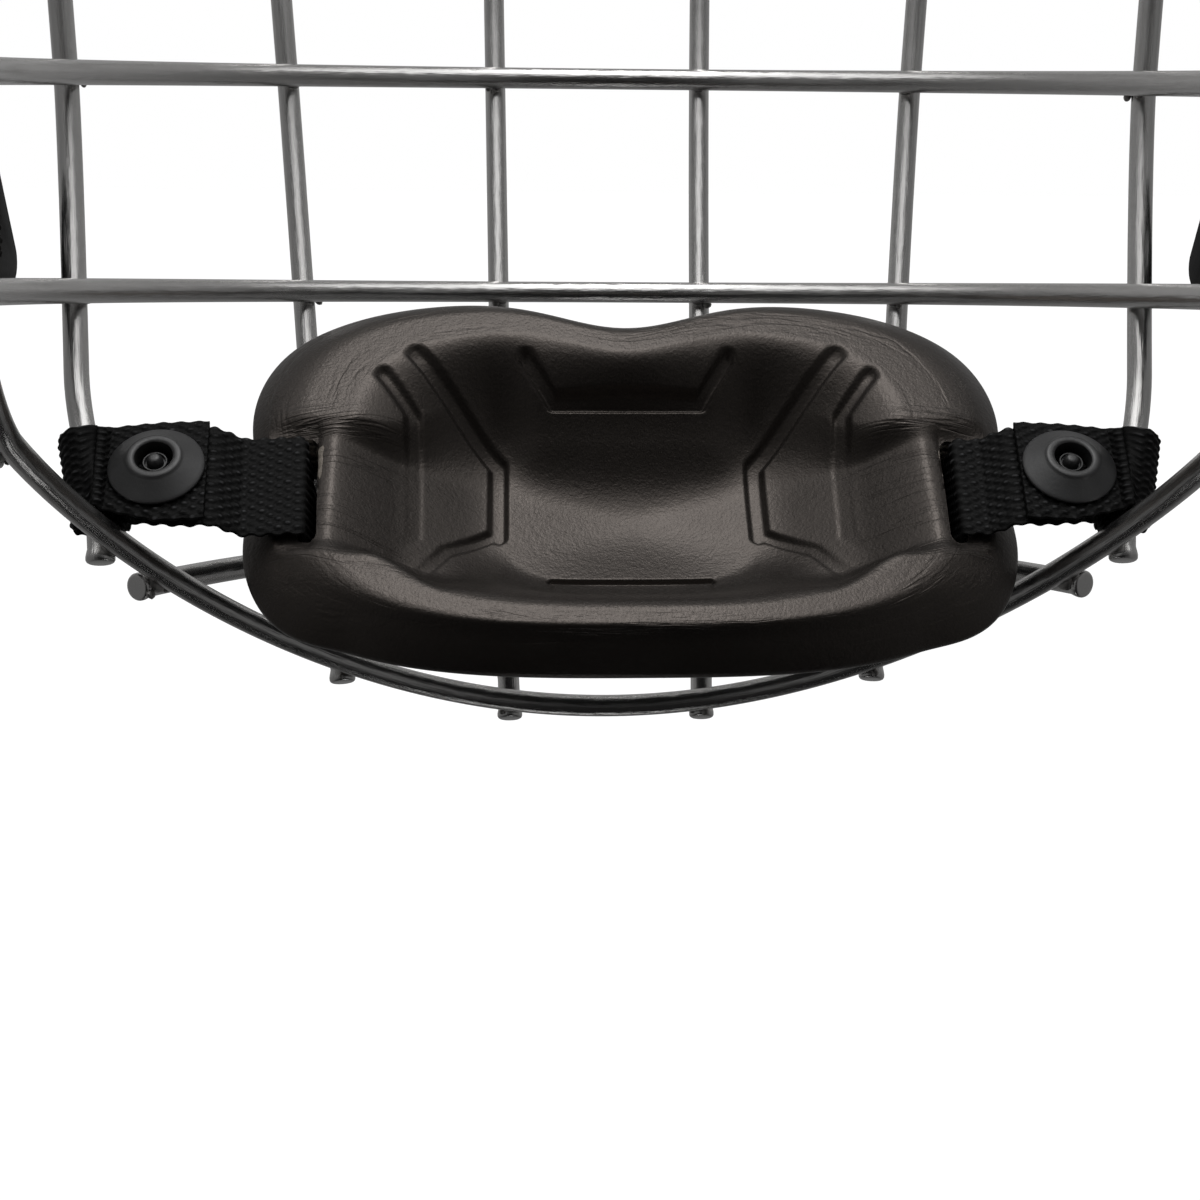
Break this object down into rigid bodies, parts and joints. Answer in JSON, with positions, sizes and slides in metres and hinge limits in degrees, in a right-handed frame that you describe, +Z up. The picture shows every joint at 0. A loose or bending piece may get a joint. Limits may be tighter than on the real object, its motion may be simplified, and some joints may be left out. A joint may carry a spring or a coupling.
{
  "type": "hockey face cage",
  "caption": "Welded wire face cage that hangs from two hinge clips, with a padded chin cup on snap-back webbing straps and buttoned side straps",
  "frame": {"origin": "the middle of the straight brow bar, on the axis of both hinge clips", "axes": "+X to the wearer's right, +Y forward out of the face, +Z up"},
  "size_m": [0.1948, 0.1361, 0.2473],
  "materials": {
    "wire": "satin titanium-grey steel with faint draw lines",
    "moulding": "matt dark grey moulded plastic",
    "pad": "grained black-brown moulded foam skin",
    "shell": "matt black",
    "webbing": "woven black nylon"
  },
  "bodies": {
    "cage": {"rim_wire": "wire", "brow_bar": "wire", "across_brow": "wire", "across_eye": "wire", "across_lip": "wire", "across_mouth": "wire", "across_chin": "wire", "upright_l1": "wire", "upright_l2": "wire", "upright_l3": "wire", "upright_l4": "wire", "upright_r1": "wire", "upright_r2": "wire", "upright_r3": "wire", "upright_r4": "wire", "weld_nuggets": "wire"},
    "clip_left": {"clip_left": "moulding"},
    "clip_right": {"clip_right": "moulding"},
    "cup": {"chin_pad": "pad", "cup_shell": "shell", "strap_left": "webbing", "strap_right": "webbing", "stud_left": "moulding", "stud_right": "moulding"},
    "flap_left": {"flap_left": "webbing", "cap_left": "moulding"},
    "flap_right": {"flap_right": "webbing", "cap_right": "moulding"},
    "side_left": {"side_strap_left": "webbing", "side_tab_left": "moulding"},
    "side_right": {"side_strap_right": "webbing", "side_tab_right": "moulding"}
  },
  "joints": [
    {"name": "clip_left_swing", "type": "hinge", "parent": "cage", "child": "clip_left", "pos_m": [-0.034, 0, 0], "axis": [1, 0, 0], "range_deg": [-100, 15]},
    {"name": "clip_right_swing", "type": "hinge", "parent": "cage", "child": "clip_right", "pos_m": [0.034, 0, 0], "axis": [1, 0, 0], "range_deg": [-100, 15]},
    {"name": "cup_rock", "type": "hinge", "parent": "cage", "child": "cup", "pos_m": [0, -0.07969, -0.16933], "axis": [1, 0, 0], "range_deg": [-4, 4]},
    {"name": "flap_left_peel", "type": "hinge", "parent": "cup", "child": "flap_left", "pos_m": [-0.07809, -0.08249, -0.16587], "axis": [0.0678, -0.7654, -0.64], "range_deg": [0, 100]},
    {"name": "flap_right_peel", "type": "hinge", "parent": "cup", "child": "flap_right", "pos_m": [0.07809, -0.08249, -0.16587], "axis": [0.0678, 0.7654, 0.64], "range_deg": [0, 100]},
    {"name": "side_left_swing", "type": "hinge", "parent": "cage", "child": "side_left", "pos_m": [-0.0843, -0.11242, -0.1232], "axis": [0, 0, 1], "range_deg": [0, 120]},
    {"name": "side_right_swing", "type": "hinge", "parent": "cage", "child": "side_right", "pos_m": [0.0843, -0.11242, -0.1232], "axis": [0, 0, -1], "range_deg": [0, 120]}
  ]
}
